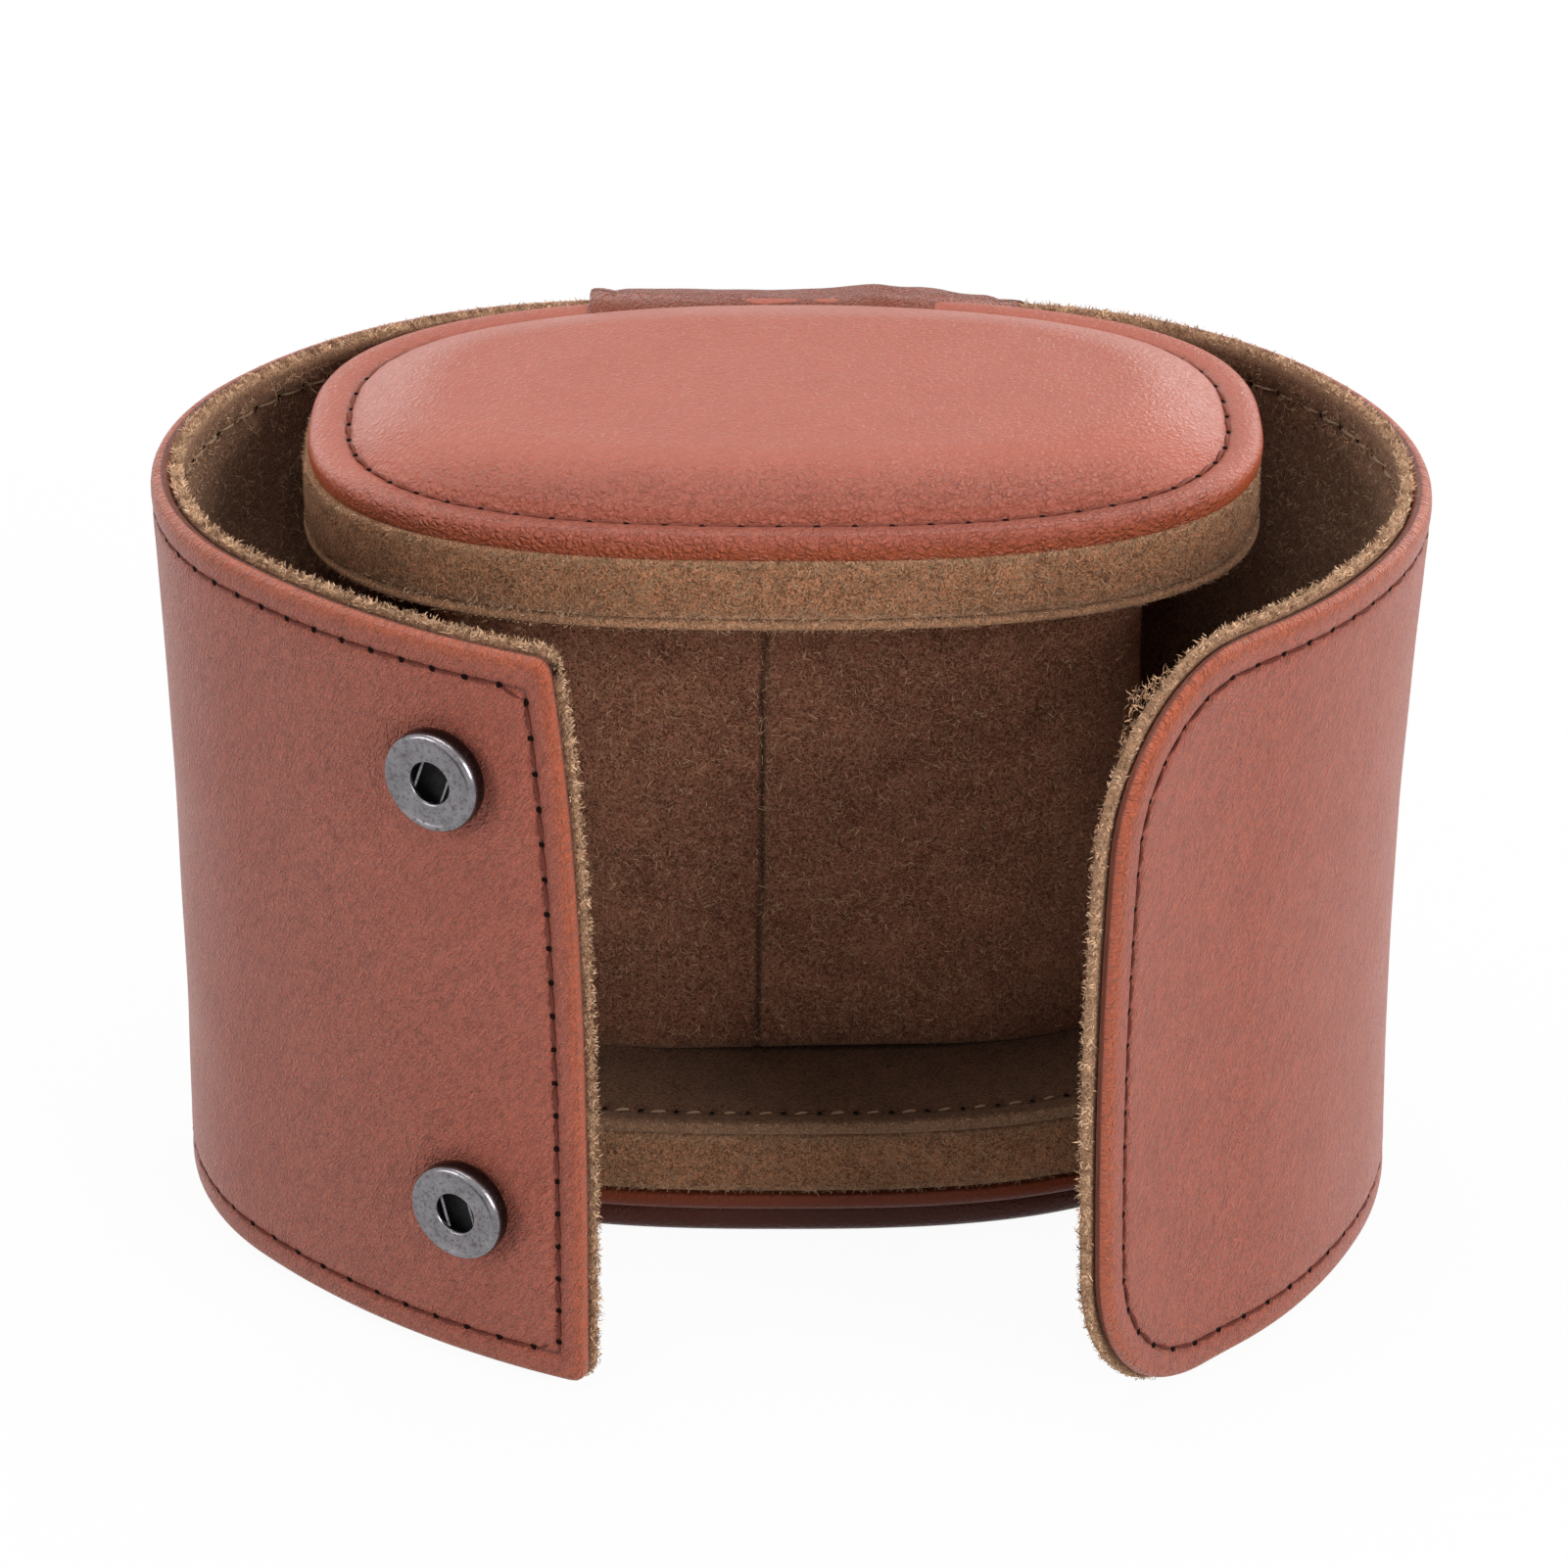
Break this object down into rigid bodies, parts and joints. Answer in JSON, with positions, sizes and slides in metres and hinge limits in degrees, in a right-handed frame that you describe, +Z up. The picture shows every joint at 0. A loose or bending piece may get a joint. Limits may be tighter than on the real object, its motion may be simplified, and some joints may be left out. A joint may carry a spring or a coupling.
{
  "type": "watch travel case",
  "caption": "Upright oval watch travel case: a padded hinged lid over a core that holds the watch, closed by a stiffened leather wrap with spring snaps.",
  "frame": {"origin": "middle of the base's underside, on the surface that the case stands on", "axes": "+Z up through the core and the lid, -Y to the open front of the wrap, +X to the flap with the studs"},
  "size_m": [0.1344, 0.1021, 0.0903],
  "materials": {
    "leather": "smooth terracotta leather, satin",
    "suede": "brown microsuede, matt nap",
    "foam": "light upholstery foam",
    "greyboard": "grey bookbinder's board",
    "tube_board": "wound paperboard",
    "gunmetal": "polished gunmetal plating"
  },
  "bodies": {
    "case": {"base_cover": "leather", "base_pad": "foam", "base_board": "greyboard", "base_band": "suede", "base_filler": "foam", "base_disc": "suede", "base_strap": "leather", "core_plug": "tube_board", "core_tube": "tube_board", "core_padding": "foam", "core_sleeve": "suede", "core_top": "suede", "lid_strap": "leather", "back_leather": "leather", "back_board": "greyboard", "back_lining": "suede"},
    "lid": {"lid_cover": "leather", "lid_pad": "foam", "lid_board": "greyboard", "lid_band": "suede", "lid_filler": "foam", "lid_disc": "suede", "lid_tongue": "leather"},
    "left_side": {"left_side_leather": "leather", "left_side_board": "greyboard", "left_side_lining": "suede"},
    "left_flap": {"left_flap_leather": "leather", "left_flap_board": "greyboard", "left_flap_lining": "suede", "socket_caps": "gunmetal", "socket_springs": "gunmetal", "socket_backs": "gunmetal"},
    "right_side": {"right_side_leather": "leather", "right_side_board": "greyboard", "right_side_lining": "suede"},
    "right_quarter": {"right_quarter_leather": "leather", "right_quarter_board": "greyboard", "right_quarter_lining": "suede"},
    "right_flap": {"right_flap_leather": "leather", "right_flap_board": "greyboard", "right_flap_lining": "suede", "snap_studs": "gunmetal", "stud_backs": "gunmetal"}
  },
  "joints": [
    {"name": "lid_hinge", "type": "hinge", "parent": "case", "child": "lid", "pos_m": [0, 0.031, 0.08635], "axis": [-1, 0, 0], "range_deg": [0, 100]},
    {"name": "left_rear_fold", "type": "hinge", "parent": "case", "child": "left_side", "pos_m": [-0.04553, 0.02286, 0.04345], "axis": [0, 0, 1], "range_deg": [-30, 24.33], "stiffness_Nm_per_rad": 0.03},
    {"name": "left_side_fold", "type": "hinge", "parent": "left_side", "child": "left_flap", "pos_m": [-0.06504, -0.00662, 0.04345], "axis": [0, 0, 1], "range_deg": [-9.6, 7.8]},
    {"name": "right_rear_fold", "type": "hinge", "parent": "case", "child": "right_side", "pos_m": [0.04387, 0.0237, 0.04345], "axis": [0, 0, -1], "range_deg": [-25, 20.5], "stiffness_Nm_per_rad": 0.03},
    {"name": "right_side_fold", "type": "hinge", "parent": "right_side", "child": "right_quarter", "pos_m": [0.0627, 0.00227, 0.04345], "axis": [0, 0, -1], "range_deg": [-12.9, 10.5]},
    {"name": "right_front_fold", "type": "hinge", "parent": "right_quarter", "child": "right_flap", "pos_m": [0.04548, -0.05046, 0.04345], "axis": [0, 0, -1], "range_deg": [-20.9, 17.2]}
  ],
  "couplings": [
    {"joint": "left_side_fold", "follows": "left_rear_fold", "ratio": 0.31844},
    {"joint": "right_side_fold", "follows": "right_rear_fold", "ratio": 0.51201},
    {"joint": "right_front_fold", "follows": "right_rear_fold", "ratio": 0.83417}
  ]
}
